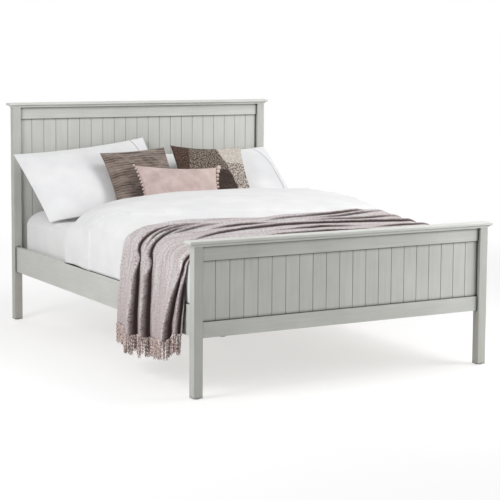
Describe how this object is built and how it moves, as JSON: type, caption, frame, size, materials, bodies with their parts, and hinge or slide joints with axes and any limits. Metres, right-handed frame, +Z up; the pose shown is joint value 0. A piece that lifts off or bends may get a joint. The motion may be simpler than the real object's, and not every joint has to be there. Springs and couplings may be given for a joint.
{
  "type": "panel bed",
  "caption": "Panel bed with tongue and groove headboard and footboard under moulded caps, side rails, slatted base, and a made-up mattress with a fringed throw.",
  "frame": {"origin": "on the floor, under the middle of the bed", "axes": "+X to the right across the bed seen from the footboard, +Y from the footboard to the headboard, +Z up"},
  "size_m": [1.5, 2.034, 1.107],
  "materials": {
    "painted_wood": "satin paint, dove grey",
    "pine": "planed, unfinished",
    "beech": "planed, unfinished",
    "zinc_steel": "zinc plated",
    "black_steel": "powder coated",
    "nylon": "matte",
    "webbing": "woven tape",
    "white_cotton": "plain weave",
    "bed_sheet": "plain weave",
    "throw_wool": "soft woven wool",
    "ribbed_brown": "ribbed weave",
    "tweed_patchwork": "nubbly weave",
    "pink_velvet": "short pile"
  },
  "bodies": {
    "bed_frame": {"beam_shoe_foot": "black_steel", "beam_shoe_head": "black_steel", "bearer_screws": "zinc_steel", "centre_beam": "pine", "centre_leg": "pine", "centre_leg_foot": "nylon", "foot_bottom_rail": "painted_wood", "foot_cap": "painted_wood", "foot_cap_mould": "painted_wood", "foot_panel_boards": "painted_wood", "foot_post_left": "painted_wood", "foot_post_right": "painted_wood", "foot_top_rail": "painted_wood", "half_moon_washers": "zinc_steel", "head_bottom_rail": "painted_wood", "head_cap": "painted_wood", "head_cap_mould": "painted_wood", "head_panel_boards": "painted_wood", "head_post_left": "painted_wood", "head_post_right": "painted_wood", "head_top_rail": "painted_wood", "leg_bolt": "zinc_steel", "post_glides": "nylon", "rail_dowels": "beech", "rail_inserts": "zinc_steel", "rail_studs": "zinc_steel", "shoe_screws": "zinc_steel", "side_rail_left": "painted_wood", "side_rail_right": "painted_wood", "slat_01": "pine", "slat_02": "pine", "slat_03": "pine", "slat_04": "pine", "slat_05": "pine", "slat_06": "pine", "slat_07": "pine", "slat_08": "pine", "slat_09": "pine", "slat_10": "pine", "slat_11": "pine", "slat_12": "pine", "slat_13": "pine", "slat_14": "pine", "slat_bearer_left": "pine", "slat_bearer_right": "pine", "slat_tape_left": "webbing", "slat_tape_right": "webbing", "stud_nuts": "zinc_steel"},
    "mattress_set": {"mattress": "bed_sheet", "duvet": "white_cotton", "throw": "throw_wool", "throw_fringe": "throw_wool"},
    "pillows": {"pillow_left": "white_cotton", "pillow_right": "white_cotton"},
    "cushions": {"cushion_ribbed": "ribbed_brown", "cushion_tweed": "tweed_patchwork", "cushion_velvet": "pink_velvet"}
  },
  "joints": [
    {"name": "mattress_lift", "type": "slide", "parent": "bed_frame", "child": "mattress_set", "axis": [0, 0, 1], "range_m": [0, 0.42]},
    {"name": "pillow_lift", "type": "slide", "parent": "mattress_set", "child": "pillows", "axis": [0, 0, 1], "range_m": [0, 0.45]},
    {"name": "cushion_lift", "type": "slide", "parent": "pillows", "child": "cushions", "axis": [0, 0, 1], "range_m": [0, 0.4]}
  ]
}
